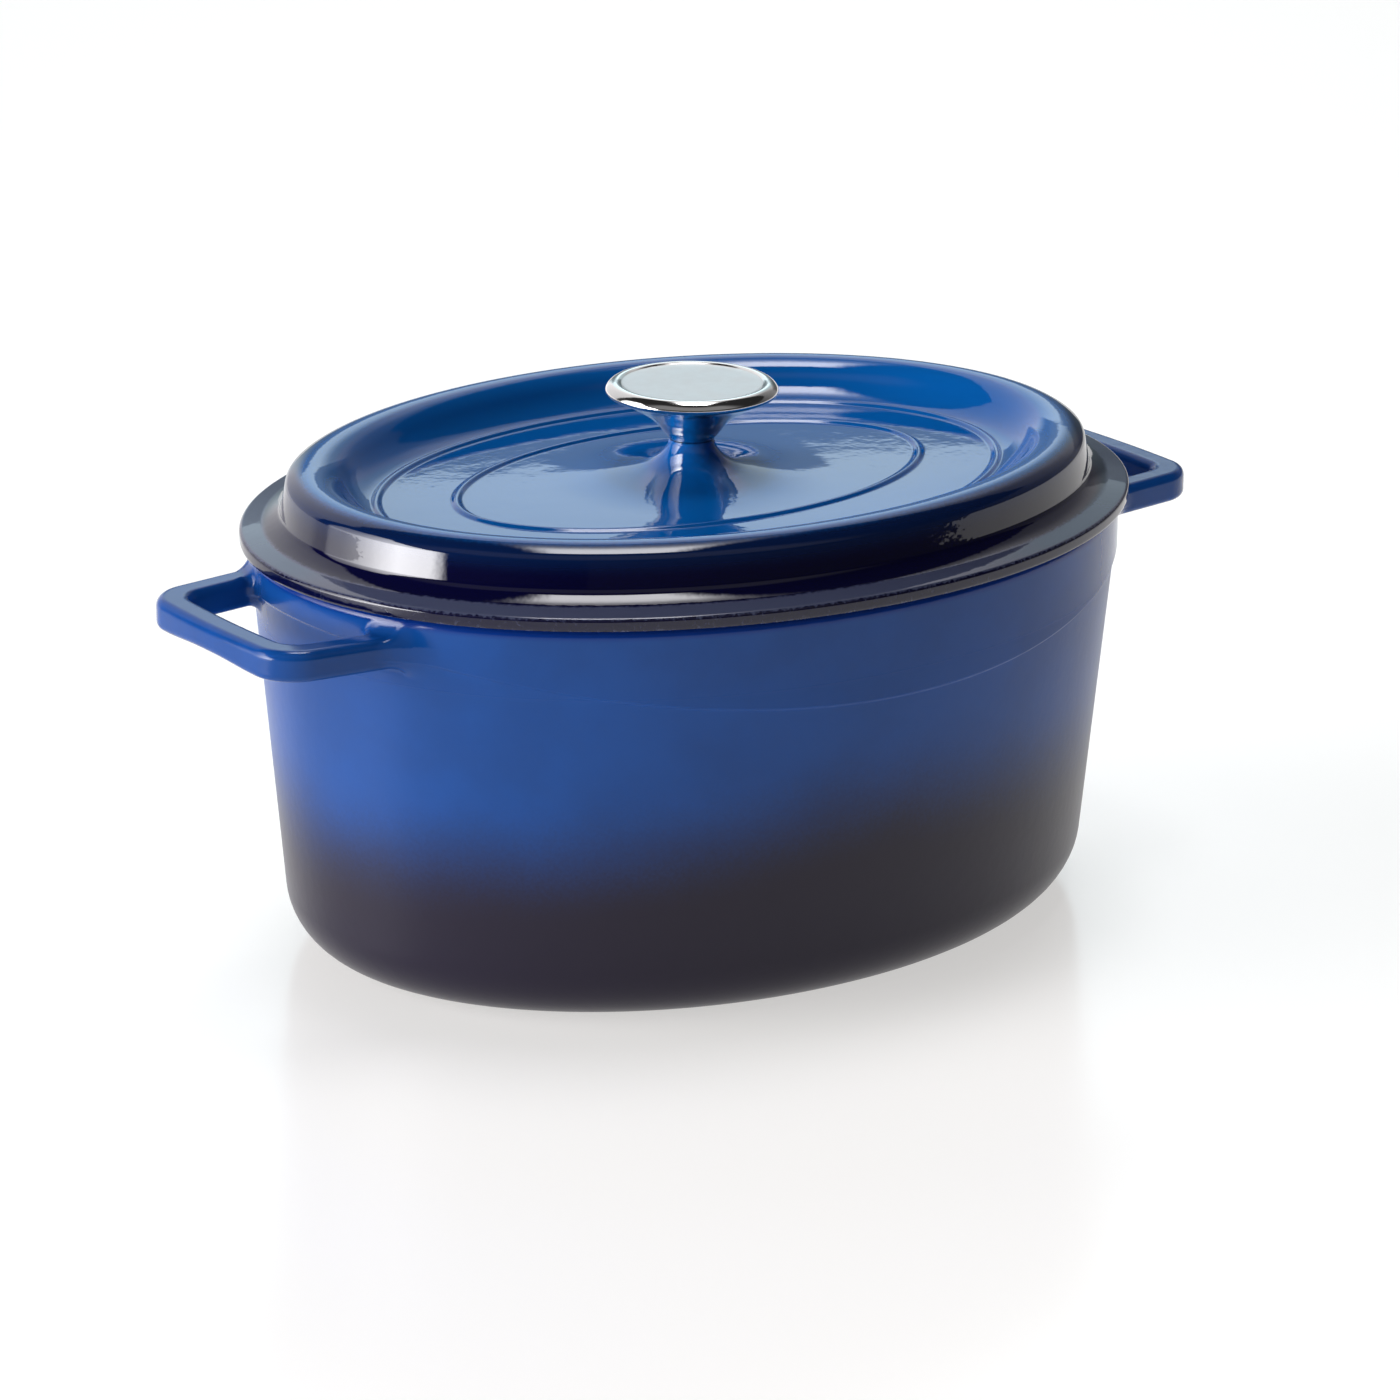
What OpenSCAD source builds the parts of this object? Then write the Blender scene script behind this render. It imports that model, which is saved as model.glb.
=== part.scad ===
// Oval cast iron dutch oven: a pot with two loop handles cast on, a domed lid,
// and a steel lid knob held by one machine screw from below.
// Millimetres. X runs along the long axis through both handles, Y across the
// short axis, Z up. The pot stands on z = 0, centred on the Z axis.

/* [Oval plan] */
// Outside length of the pot body at the rim, handles left out
body_len = 300; // [270:5:330]
// Outside width of the pot body at the rim
body_wid = 234; // [222:2:246]

/* [Pot] */
// Height of the pot from the table to the rim
pot_h = 134.4; // [120:0.2:150]
// Wall thickness of the casting
wall_t = 3.8; // [3:0.1:5]
// Thickness of the pot floor
floor_t = 5; // [4:0.5:7]
// How far the wall draws in from rim to base, as offset per mm of height
draft = 0.087; // [0.06:0.001:0.1]
// Outer radius where the wall turns into the base
base_r = 22; // [14:1:26]
// Inner radius where the wall turns into the floor
well_r = 16; // [10:1:20]
// Rounding of the outer rim corner
rim_r = 2.8; // [1.5:0.1:3]
// Depth of the recess inside the foot ring
foot_recess = 0.8; // [0.4:0.1:1.2]
// Width of the foot ring
foot_w = 9; // [6:1:14]
// Lowest point of the collar edge, at the middle of each long side
collar_z = 103.4; // [96:0.2:108]
// Radius of the arc that the collar edge follows up toward the handles
collar_arc_r = 550; // [500:10:700]
// How far the collar stands outside the plan oval
collar_out = 0.65; // [0.4:0.05:1]

/* [Handles] */
// Distance from the centre to the outermost point of a handle
handle_reach = 183.4; // [178:0.1:192]
// Half of the spread of a handle, at its outer corners
handle_half = 40.2; // [34:0.2:46]
// Width of the handle bar seen from above
bar_w = 10.5; // [9:0.5:12]
// Height of the handle bar
bar_h = 9.8; // [8:0.2:11]
// Height of the handle's upper face above the table
handle_top = 128.1; // [126:0.1:129]
// How much the outer bar bows outward at its middle
handle_bow = 1.9; // [1:0.1:3]
// Plan radius of the handle's outer corners
corner_out_r = 12.5; // [6:0.5:13]
// Plan radius of the finger hole's corners
corner_in_r = 5; // [3:0.5:5]

/* [Lid] */
// Gap between the pot rim and the underside of the lid flange
seat_gap = 0.3; // [0.3:0.05:0.6]
// How far the lid flange stands outside the plan oval
lid_over = 4; // [2.5:0.1:5]
// Thickness of the lid flange at its edge
flange_t = 4.4; // [4:0.1:5]
// Height of the raised crest above the table
crest_z = 156.9; // [155.5:0.1:158]
// Offset of the crest line inside the plan oval
crest_in = 18.9; // [18:0.1:19.5]
// Height of the flat field around the boss above the table
field_z = 145.5; // [144.5:0.1:146.5]
// Thickness of the lid casting in the flat field
lid_t = 4; // [3.5:0.1:5]
// Depth of the ring below the flange that keeps the lid in place
lip_h = 5; // [3:0.5:8]
// Gap between that ring and the inside of the pot wall
lip_gap = 1.8; // [1:0.1:3]
// Offset of the outer bead inside the plan oval
bead_out_in = 39.6; // [39:0.2:42]
// Offset of the inner bead inside the plan oval
bead_in_in = 65; // [63:0.2:67]
// Width of each bead
bead_w = 3.4; // [2:0.2:5]
// Height of each bead above the field
bead_h = 0.9; // [0.5:0.1:1.4]

/* [Knob and its screw] */
// Radius of the knob disc
knob_r = 27.9; // [24:0.1:32]
// Height of the knob top above the table
knob_top = 177.2; // [176:0.1:180]
// Height of the joint between the knob and the lid boss above the table
knob_seat = 157.8; // [156.5:0.1:159]
// Radius of the stem where it stands on the boss
stem_r = 7; // [6:0.1:8]
// Thread size of the knob screw
screw_d = 6; // [5:0.5:6]
// Length of the screw under its head
screw_len = 30; // [28:1:31]

/* [Hidden] */
blue = [0.13, 0.25, 0.52];
blue_lid = [0.08, 0.2, 0.55];
steel = [0.8, 0.8, 0.79];
steel_dark = [0.6, 0.61, 0.62];
eps = 0.01;

// ---- the plan oval, made of eight arcs that meet tangent ----
A = body_len / 2;
B = body_wid / 2;
al = 34;      // half sweep of the two end arcs
be = 64.4;    // angle where the side arcs begin
R1 = 0.6292 * A;
KK = (1 - sin(be)) / cos(be);
R2 = (B - R1 * sin(al) - KK * (A - R1 + R1 * cos(al))) / (1 - sin(al) - KK * cos(al));
C1x = A - R1;
C2x = C1x - (R2 - R1) * cos(al);
C2y = -(R2 - R1) * sin(al);
R3 = R2 + C2x / cos(be);
C3y = C2y - (R3 - R2) * sin(be);
// centre x, centre y, radius, start angle, sweep
ARCS = [
    [ C1x,    0, R1, -al,        2 * al],
    [ C2x,  C2y, R2, al,         be - al],
    [   0,  C3y, R3, be,         180 - 2 * be],
    [-C2x,  C2y, R2, 180 - be,   be - al],
    [-C1x,    0, R1, 180 - al,   2 * al],
    [-C2x, -C2y, R2, 180 + al,   be - al],
    [   0, -C3y, R3, 180 + be,   180 - 2 * be],
    [ C2x, -C2y, R2, 360 - be,   be - al]
];

// Sweeps a section along the oval. Each point is [offset from the oval, height].
module oval_ring(pts) {
    for (a = ARCS)
        translate([a[0], a[1], 0]) rotate([0, 0, a[3]])
            rotate_extrude(angle = a[4], $fn = 240)
                polygon([for (p = pts) [a[2] + p[0], p[1]]]);
}

// Outline of the oval moved outward by off, as a closed list of points.
function oval_pts(off, n = 12) = [
    for (a = ARCS) for (i = [0 : n - 1])
        let (t = a[3] + a[4] * i / n)
            [a[0] + (a[2] + off) * cos(t), a[1] + (a[2] + off) * sin(t)]
];

// A flat plate with that outline between two heights.
module oval_plate(off, z0, z1) {
    translate([0, 0, z0]) linear_extrude(height = z1 - z0) polygon(oval_pts(off));
}

// Points on an arc about [cx, cy] from angle t0 to t1.
function arc(cx, cy, r, t0, t1, n = 6) =
    [for (i = [0 : n]) let (t = t0 + (t1 - t0) * i / n) [cx + r * cos(t), cy + r * sin(t)]];

// ---- pot ----
wall_a = atan(draft);                       // lean of the lower wall
wall_d0 = collar_out - 0.61 - draft * 124;  // offset of that wall at z = 0
function wall_d(z) = min(wall_d0 + draft * z, collar_out - 0.61);
core_off = -58;                             // where the ring meets the floor plate
in_top = collar_out - wall_t;               // inner wall at the rim

// centre of the base rounding: base_r inside the leaning wall
bc_d = wall_d0 + draft * base_r - base_r / cos(wall_a);
// inner wall line, wall_t inside the outer one
in_d0 = wall_d0 - wall_t / cos(wall_a);
wc_z = floor_t + well_r;
wc_d = in_d0 + draft * wc_z - well_r / cos(wall_a);

POT_PROFILE = concat(
    [[core_off, foot_recess], [bc_d - foot_w, foot_recess], [bc_d - foot_w + 0.8, 0]],
    arc(bc_d, base_r, base_r, -90, -wall_a, 9),
    [[wall_d(124), 124], [wall_d(124), pot_h - rim_r]],
    arc(wall_d(124) - rim_r, pot_h - rim_r, rim_r, 15, 90, 4),
    [[in_top + 0.5, pot_h], [in_top, pot_h - 0.5], [in_top, 126]],
    [[in_d0 + draft * 116, 116]],
    arc(wc_d, wc_z, well_r, -wall_a, -90, 8),
    [[core_off, floor_t]]
);

// The collar is a thin skin outside the wall, cut along an arc that
// dips at the middle of each long side. Its plan is a fine polygon.
module pot_collar() {
    difference() {
        translate([0, 0, collar_z - 4]) linear_extrude(height = pot_h - rim_r - collar_z + 4)
            difference() { polygon(oval_pts(collar_out, 14)); polygon(oval_pts(-1.6, 14)); }
        rotate([90, 0, 0]) linear_extrude(height = body_wid + 40, center = true)
            polygon(concat(
                [for (x = [-171 : 9 : 171]) [x, collar_z + x * x / (2 * collar_arc_r)]],
                [[171, collar_z - 20], [-171, collar_z - 20]]));
    }
}

// Plan outline of a handle, drawn in by g on every side of the bar.
hx = handle_reach - handle_bow;             // x of the outer corners
arm_lean = 0.12;                            // how the arms spread toward the wall
arm_a = atan(arm_lean);
bow_r = (handle_half * handle_half + handle_bow * handle_bow) / (2 * handle_bow);
bow_a = asin(handle_half / bow_r);
function handle_out(g) =
    let (r = corner_out_r, cx = hx - r * 0.93, cy = handle_half - r * 0.96)
    concat(
        [[A - 14, -(cy + r - g + arm_lean * (cx - A + 14))]],
        arc(cx, -cy, r - g, -90 - arm_a, -bow_a, 5),
        arc(handle_reach - bow_r, 0, bow_r - g, -bow_a * 0.7, bow_a * 0.7, 8),
        arc(cx, cy, r - g, bow_a, 90 + arm_a, 5),
        [[A - 14, cy + r - g + arm_lean * (cx - A + 14)]]
    );
function handle_in(g) =
    let (r = corner_in_r, cx = hx - bar_w + 1.4 - r, cy = handle_half - bar_w - r + 0.3)
    concat(
        [[A - 14.1, -(cy + r + g + arm_lean * (cx - A + 14))]],
        arc(cx, -cy, r + g, -90 - arm_a, -bow_a, 4),
        arc(handle_reach - bow_r - bar_w, 0, bow_r + g, -bow_a * 0.4, bow_a * 0.4, 6),
        arc(cx, cy, r + g, bow_a, 90 + arm_a, 4),
        [[A - 14.1, cy + r + g + arm_lean * (cx - A + 14)]]
    );

// One slice of the handle bar between two heights.
module handle_slice(g, z0, z1) {
    translate([0, 0, z0]) linear_extrude(height = z1 - z0)
        difference() { polygon(handle_out(g)); polygon(handle_in(g)); }
}

module pot_handle() {
    z0 = handle_top - bar_h;
    difference() {
        union() {
            handle_slice(1.1, z0, handle_top);
            handle_slice(0.3, z0 + 0.7, handle_top - 0.7);
            handle_slice(0, z0 + 1.7, handle_top - 1.7);
        }
        // keeps the roots out of the cooking space
        translate([0, 0, z0 - 1]) linear_extrude(height = bar_h + 2) polygon(oval_pts(-2));
    }
}

module pot() {
    color(blue) {
        oval_ring(POT_PROFILE);
        oval_plate(core_off + 0.5, foot_recess, floor_t);
        pot_collar();
        pot_handle();
        mirror([1, 0, 0]) pot_handle();
    }
}

// ---- lid ----
lz = pot_h + seat_gap;                      // underside of the flange
ft = lz + flange_t;                         // top of the flange near its edge
flange_a = 10.5;                            // rise of the flange toward the cove
edge_r = 1.35;
crest_r = 11.5;                             // radius over the top of the crest
skirt_a = 79;                               // steepness of the skirt outside it
mid_a = 36;                                 // steepness where the radii change
shoulder_r = 3.5;                           // crest to skirt
foot_r = 3;                                 // skirt to cove
cove_r = 17;
inner_r = 16;                               // concave slope inside the crest
// crest centre, shoulder centre, upper end of the skirt
cc_d = -crest_in;
cc_z = crest_z - crest_r;
sc_d = cc_d + (crest_r - shoulder_r) * sin(mid_a);
sc_z = cc_z + (crest_r - shoulder_r) * cos(mid_a);
sk_d = sc_d + shoulder_r * sin(skirt_a);
sk_z = sc_z + shoulder_r * cos(skirt_a);
// cove start, found where the skirt line meets the foot of the cove
ca = cove_r * sin(flange_a) - (cove_r - foot_r) * sin(mid_a) - foot_r * sin(skirt_a);
cb = cove_r * cos(flange_a) - (cove_r - foot_r) * cos(mid_a) - foot_r * cos(skirt_a);
fl_d = lid_over - 0.65;
cv_d = ((sk_d - ca) * sin(skirt_a) + (sk_z - cb - ft - fl_d * tan(flange_a)) * cos(skirt_a))
    / (sin(skirt_a) - tan(flange_a) * cos(skirt_a));
cv_z = ft + (fl_d - cv_d) * tan(flange_a);
c1_d = cv_d + cove_r * sin(flange_a);
c1_z = cv_z + cove_r * cos(flange_a);
c2_d = c1_d - (cove_r - foot_r) * sin(mid_a);
c2_z = c1_z - (cove_r - foot_r) * cos(mid_a);
ft_d = cv_d + ca;                           // lower end of the skirt
ft_z = cv_z + cb;
// concave slope inside the crest, tangent to crest and field
in_h = field_z + inner_r - cc_z;
in_w = sqrt(pow(inner_r + crest_r, 2) - in_h * in_h);
in_a = acos(in_h / (inner_r + crest_r));
field_d = cc_d - in_w;
in_end = asin(max(0, 2.6 - bead_out_in - field_d) / inner_r); // the slope stops at the outer bead
lip_d = in_top - lip_gap;                   // outer face of the locating ring
lid_core = -71;

// top face of the lid from its edge to the field, then the beads
LID_TOP = concat(
    arc(lid_over - edge_r, ft - edge_r, edge_r, 0, 90 - flange_a, 3),
    arc(c1_d, c1_z, cove_r, -90 - flange_a - 3, -90 - mid_a, 3),
    arc(c2_d, c2_z, foot_r, -90 - mid_a - 20, -90 - skirt_a, 1),
    arc(sc_d, sc_z, shoulder_r, 90 - skirt_a, 90 - mid_a - 20, 1),
    arc(cc_d, cc_z, crest_r, 90 - mid_a, 90 + in_a, 7),
    arc(field_d, field_z + inner_r, inner_r, -90 + in_a - 8, -90 + in_end, 5),
    arc(-bead_out_in, field_z - 1.16, 2.06, 45, 145, 3),
    arc(-bead_in_in, field_z - 1.16, 2.06, 34.3, 145.7, 4),
    [[lid_core, field_z]]
);
// underside, from the centre back to the edge: lid_t below the top
LID_UNDER = concat(
    [[lid_core, field_z - lid_t]],
    arc(field_d, field_z + inner_r, inner_r + lid_t, -90, -90 + in_a - 6, 4),
    [[cc_d - 4, crest_z - lid_t - 0.8], [cc_d, crest_z - lid_t], [cc_d + 3, crest_z - lid_t - 0.6]],
    [[sk_d - lid_t + 1.1, sk_z - 3.4], [ft_d - lid_t - 0.1, ft_z - 0.2], [ft_d - lid_t + 1, ft_z - 3.8],
     [lip_d - 4.2, lz + 1.9], [lip_d - 3.6, lz - 0.4], [lip_d - 3.4, lz - lip_h + 0.8],
     [lip_d - 2.6, lz - lip_h], [lip_d - 0.8, lz - lip_h], [lip_d, lz - lip_h + 0.8], [lip_d, lz]],
    [[lid_over - 0.4, lz], [lid_over, lz + 0.4]]
);

// The boss flares down into the field like a trumpet.
BOSS_PROFILE = [
    [0, field_z - 1], [50, field_z - 0.02], [36, field_z + 0.7], [24, field_z + 2.1], [18, field_z + 3.3],
    [14, field_z + 4.4], [12.3, field_z + 5.2], [10.3, field_z + 6.3], [8.5, field_z + 8],
    [7.5, field_z + 9.6], [stem_r + 0.1, knob_seat - 1.2], [stem_r, knob_seat - 0.3], [stem_r - 0.4, knob_seat], [0, knob_seat]
];

module lid() {
    color(blue_lid)
    difference() {
        union() {
            oval_ring(concat(LID_TOP, LID_UNDER));
            oval_plate(lid_core + 0.5, field_z - lid_t, field_z);
            rotate_extrude($fn = 180) polygon(BOSS_PROFILE);
        }
        // clearance hole for the knob screw
        translate([0, 0, field_z - lid_t - 1])
            cylinder(d = screw_d + 0.6, h = knob_seat - field_z + lid_t + 2, $fn = 64);
    }
}

// ---- knob, screw and washers ----
kt = knob_top;
KNOB_PROFILE = [
    [0, knob_seat], [stem_r - 0.3, knob_seat], [stem_r, knob_seat + 0.3], [7.4, knob_seat + 0.9],
    [8.5, knob_seat + 2.1], [10.2, knob_seat + 4.3], [11.8, knob_seat + 6.2], [14.1, knob_seat + 8.2],
    [18, kt - 8.1], [22.3, kt - 6.2], [25.4, kt - 5.3], [knob_r - 0.6, kt - 4.3], [knob_r, kt - 3],
    [knob_r - 0.3, kt - 1.9], [knob_r - 1.2, kt - 0.8], [knob_r - 2.6, kt - 0.1], [knob_r - 3.8, kt],
    [knob_r - 4.9, kt - 0.25], [knob_r - 5.4, kt - 0.6], [0, kt - 0.6]
];

module knob() {
    color(steel)
    difference() {
        rotate_extrude($fn = 180) polygon(KNOB_PROFILE);
        // blind hole that takes the screw
        translate([0, 0, knob_seat - 1])
            cylinder(d = screw_d + 0.1, h = kt - 4.2 - knob_seat + 1, $fn = 64);
    }
}

under_z = field_z - lid_t;                  // face the washers bear on
flat_t = 1.2;
lock_t = 1.5;

module knob_washer() {
    color(steel_dark)
    translate([0, 0, under_z - flat_t])
    difference() {
        cylinder(d = 3 * screw_d, h = flat_t, $fn = 96);
        translate([0, 0, -1]) cylinder(d = screw_d + 0.4, h = flat_t + 2, $fn = 64);
    }
}

module knob_lock_washer() {
    color(steel_dark)
    translate([0, 0, under_z - flat_t - lock_t])
    difference() {
        cylinder(d = 2 * screw_d - 0.4, h = lock_t, $fn = 96);
        translate([0, 0, -1]) cylinder(d = screw_d + 0.3, h = lock_t + 2, $fn = 64);
        // the split in the ring
        rotate([0, 0, 35]) translate([screw_d / 4, -0.5, -1]) cube([screw_d, 1, lock_t + 2]);
    }
}

module knob_screw() {
    head_z = under_z - flat_t - lock_t;
    head_h = 4;
    color(steel_dark)
    difference() {
        union() {
            translate([0, 0, head_z]) cylinder(d = screw_d, h = screw_len - 0.8, $fn = 64);
            translate([0, 0, head_z + screw_len - 0.8]) cylinder(d1 = screw_d, d2 = screw_d - 1.6, h = 0.8, $fn = 64);
            rotate_extrude($fn = 96) polygon([
                [0, head_z], [screw_d, head_z], [screw_d, head_z - 1.6], [screw_d - 0.5, head_z - 2.9],
                [screw_d - 1.9, head_z - 3.7], [screw_d - 3.4, head_z - head_h], [0, head_z - head_h]]);
        }
        // crossed driver slots
        for (a = [0, 90]) rotate([0, 0, a])
            translate([-3.6, -0.7, head_z - head_h - 1]) cube([7.2, 1.4, 3.4]);
    }
}

pot();
lid();
knob();
knob_screw();
knob_washer();
knob_lock_washer();
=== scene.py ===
# Oval enamelled cast iron dutch oven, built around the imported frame.
import bpy
import math
import numpy as np
from mathutils import Matrix, Vector

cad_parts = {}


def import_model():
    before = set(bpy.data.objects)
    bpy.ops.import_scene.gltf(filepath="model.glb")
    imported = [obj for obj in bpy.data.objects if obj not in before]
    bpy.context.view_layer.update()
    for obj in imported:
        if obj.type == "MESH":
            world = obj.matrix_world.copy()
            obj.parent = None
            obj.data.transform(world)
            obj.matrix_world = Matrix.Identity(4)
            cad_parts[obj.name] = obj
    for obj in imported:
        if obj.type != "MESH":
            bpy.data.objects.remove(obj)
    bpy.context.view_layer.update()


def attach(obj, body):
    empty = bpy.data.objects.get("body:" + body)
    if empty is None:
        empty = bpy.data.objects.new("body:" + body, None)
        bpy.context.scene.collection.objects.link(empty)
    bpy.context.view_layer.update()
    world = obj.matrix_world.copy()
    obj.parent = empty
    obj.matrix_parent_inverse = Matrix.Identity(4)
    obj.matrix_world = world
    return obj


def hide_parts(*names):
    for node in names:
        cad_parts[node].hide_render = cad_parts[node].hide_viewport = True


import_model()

# ---------------------------------------------------------------- plan oval
# Lengths below are millimetres until mesh() turns them into metres.
A, B = 150.0, 117.0
PATCH_ARC, FINE = 66.0, 0.62


def quarter():
    """Ellipse parameters of one quarter: fine steps beside a handle, wider ones round the side."""
    t = np.linspace(0, math.pi / 2, 8001)
    s = np.r_[0, np.cumsum(np.hypot(np.diff(A * np.cos(t)), np.diff(B * np.sin(t))))]
    n_fine = int(round(PATCH_ARC / FINE))
    fine = np.arange(n_fine + 1) * FINE
    rest, h = [0.0], FINE
    while rest[-1] < s[-1] - fine[-1]:
        h = min(h * 1.05, 2.1)
        rest.append(rest[-1] + h)
    rest = np.array(rest[1:]) * (s[-1] - fine[-1]) / rest[-1]
    return np.interp(np.r_[fine, fine[-1] + rest], s, t), n_fine


Q, NF = quarter()
NQ = len(Q) - 1
T = np.concatenate([Q[:-1], (math.pi - Q[::-1])[:-1], math.pi + Q[:-1], (2 * math.pi - Q[::-1])[:-1]])
N = len(T)


def oval(t):
    """Point and outward normal of the plan oval."""
    nx, ny = np.cos(t) / A, np.sin(t) / B
    k = np.hypot(nx, ny)
    return A * np.cos(t), B * np.sin(t), nx / k, ny / k


def smooth(x):
    x = np.clip(x, 0, 1)
    return x * x * x * (x * (6 * x - 15) + 10)


class Builder:
    """Collects vertices and faces, in millimetres."""

    def __init__(self):
        self.v, self.f, self.n, self.attr = [], [], 0, []

    def add(self, pts, attr=0.0):
        pts = np.asarray(pts, float).reshape(-1, 3)
        self.v.append(pts)
        self.attr.append(np.broadcast_to(np.asarray(attr, float), (len(pts),)).astype(float))
        self.n += len(pts)
        return np.arange(self.n - len(pts), self.n)

    def ring(self, a, b, close=True):
        """Quads between two rows of the same length; a to b is the direction the surface runs."""
        if close:
            a2, b2 = np.roll(a, -1), np.roll(b, -1)
        else:
            a, b, a2, b2 = a[:-1], b[:-1], a[1:], b[1:]
        self.f.append(np.stack([a, a2, b2, b], 1))

    def fan(self, row, centre, flip=False):
        a, b = row, np.roll(row, -1)
        c = np.full(len(a), centre)
        self.f.append(np.stack([b, a, c, c] if flip else [a, b, c, c], 1))


def mesh(name, v, quads, mats, face_mat=None, normals=None, attrs=None):
    """A smooth mesh object in metres. A quad whose last two corners are the same is a triangle."""
    v = np.asarray(v, float) * 0.001
    quads = np.asarray(quads, np.int64)
    tri = quads[:, 2] == quads[:, 3]
    n = np.where(tri, 3, 4)
    keep = np.ones((len(quads), 4), bool)
    keep[tri, 3] = False
    flat = quads[keep]
    me = bpy.data.meshes.new(name)
    me.vertices.add(len(v))
    me.vertices.foreach_set("co", v.ravel().astype(np.float32))
    me.loops.add(len(flat))
    me.loops.foreach_set("vertex_index", flat.astype(np.int32))
    me.polygons.add(len(quads))
    me.polygons.foreach_set("loop_start", np.r_[0, np.cumsum(n)[:-1]].astype(np.int32))
    me.polygons.foreach_set("use_smooth", np.ones(len(quads), bool))
    for m in mats:
        me.materials.append(m)
    if face_mat is not None:
        me.polygons.foreach_set("material_index", np.asarray(face_mat, np.int32))
    for key, values in (attrs or {}).items():
        at = me.attributes.new(key, "FLOAT", "POINT")
        at.data.foreach_set("value", np.asarray(values, np.float32))
    me.update(calc_edges=True)
    me.validate()
    if normals is not None:
        me.normals_split_custom_set_from_vertices([tuple(x) for x in np.asarray(normals, float)])
    o = bpy.data.objects.new(name, me)
    bpy.context.scene.collection.objects.link(o)
    return o


def vertex_normals(v, quads):
    """Angle-blind area-weighted normals, which are exact enough on an even grid."""
    n = np.zeros_like(v)
    for a, b, c in ((0, 1, 2), (0, 2, 3)):
        k = np.cross(v[quads[:, b]] - v[quads[:, a]], v[quads[:, c]] - v[quads[:, a]])
        for i in (a, b, c):
            np.add.at(n, quads[:, i], k)
    return n / np.maximum(np.linalg.norm(n, axis=1, keepdims=True), 1e-12)


# ---------------------------------------------------------------- pot
RIM_Z, BAND_D, RIM_R, STEP = 134.4, 0.65, 2.8, 0.9
BASE_C, BASE_R = -30.9, 22.0


def collar(t):
    return 103.4 + (A * np.cos(t)) ** 2 / 1100.0


def wall_rows(t):
    """Rows (offset, height, turn) of the outer wall from the table to the rim top, for parameters t.
    turn is the angle above horizontal of the direction that a row grows in."""
    t = np.asarray(t, float)
    one = np.ones_like(t)
    bz, bd = collar(t) - 0.6, BAND_D - STEP
    vx, vz = bd - BASE_C, bz - BASE_R
    th = np.arctan2(vz, vx) - np.arccos(BASE_R / np.hypot(vx, vz))
    rows = []
    for k in np.linspace(0, 1, 16):
        a = -math.pi / 2 + (th + math.pi / 2) * k
        rows.append((BASE_C + BASE_R * np.cos(a), BASE_R + BASE_R * np.sin(a), 0 * one))
    d0, z0 = rows[-1][0], rows[-1][1]
    slope = (bd - d0) / (bz - z0)

    def line(z):
        return d0 + slope * (z - z0)

    for k in np.linspace(0, 1, 19)[1:]:
        k = 1 - (1 - k) ** 1.35
        z = z0 + (bz - 14 - z0) * k
        rows.append((line(z), z, 0 * one))
    first = len(rows) - 1
    for k in np.linspace(0, 1, 25)[1:]:
        z = bz - 14 + 14 * k
        rows.append((line(z), z, 0 * one))
    for k in np.linspace(0, 1, 12)[1:]:
        z = bz + 1.5 * k
        rows.append((line(z) + (BAND_D - line(z)) * smooth(k * one), z, 0 * one))
    z1 = bz + 1.5
    for k in np.linspace(0, 1, 19)[1:]:
        rows.append((BAND_D * one, z1 + (RIM_Z - RIM_R - z1) * k, 0 * one))
    for k in np.linspace(0, 1, 9)[1:]:
        a = k * math.pi / 2
        rows.append(((BAND_D - RIM_R + RIM_R * math.cos(a)) * one, (RIM_Z - RIM_R + RIM_R * math.sin(a)) * one, a * one))
    last = len(rows) - 1
    return np.array([r[0] for r in rows]), np.array([r[1] for r in rows]), np.array([r[2] for r in rows]), first, last


def place(t, d, z):
    x, y, nx, ny = oval(t)
    return np.stack([x + d * nx, y + d * ny, z + 0 * x], -1)


# handle, on the +X side
H_TOP, H_H, H_OUT, H_BOW, H_HALF, H_BAR, H_LEAN = 128.1, 9.8, 183.3, 1.9, 40.2, 10.6, 0.12
H_ZM = H_TOP - H_H / 2


def round_and(a, b, r):
    """Intersection of two fields with a corner rounded to r."""
    return np.minimum(-r, np.maximum(a, b)) + np.hypot(np.maximum(r + a, 0), np.maximum(r + b, 0))


def round_or(a, b, r):
    """Union of two fields with a fillet of radius r."""
    return np.maximum(r, np.minimum(a, b)) - np.hypot(np.maximum(r - a, 0), np.maximum(r - b, 0))


def handle_field(p):
    """Distance to the handle bar, and the radius of its fillet to the wall at that place."""
    x, y, z = p[..., 0], np.abs(p[..., 1]), p[..., 2]
    sag = H_BOW * (y / H_HALF) ** 2
    k = 1 / np.sqrt(1 + (2 * H_BOW * y / H_HALF**2) ** 2)
    far = (x - (H_OUT - sag)) * k
    side = (y - (H_HALF + H_LEAN * (H_OUT - H_BOW - x))) / math.sqrt(1 + H_LEAN**2)
    outer = round_and(far, side, 12.5)
    hole = round_and(far + H_BAR, side + H_BAR, 5.0)
    plan = np.maximum(outer, -hole)
    dz = z - H_ZM
    r = np.where(dz > 0, 3.0, 2.2)
    # the outer bar is thinned from below at its middle
    arch = 1.2 * (1 - smooth(y / 33.0)) * smooth((x - 162.0) / 9.0)
    a, b = plan, np.where(dz > 0, dz, -dz + arch) - H_H / 2
    bar = np.minimum(-r, np.maximum(a, b)) + np.hypot(np.maximum(r + a, 0), np.maximum(r + b, 0))
    lat = (side + H_BAR / 2) / (H_BAR / 2)
    ver = dz / (H_H / 2)
    wl, wv = np.maximum(np.abs(lat) - 0.55, 0), np.maximum(np.abs(ver) - 0.55, 0)
    rl = 5.0 + 4.5 * smooth((lat + 1) / 2)
    rv = 3.2 + 1.3 * smooth((ver + 1) / 2)
    return bar, (rl * wl + rv * wv + 0.02 * rl) / (wl + wv + 0.02)


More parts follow.
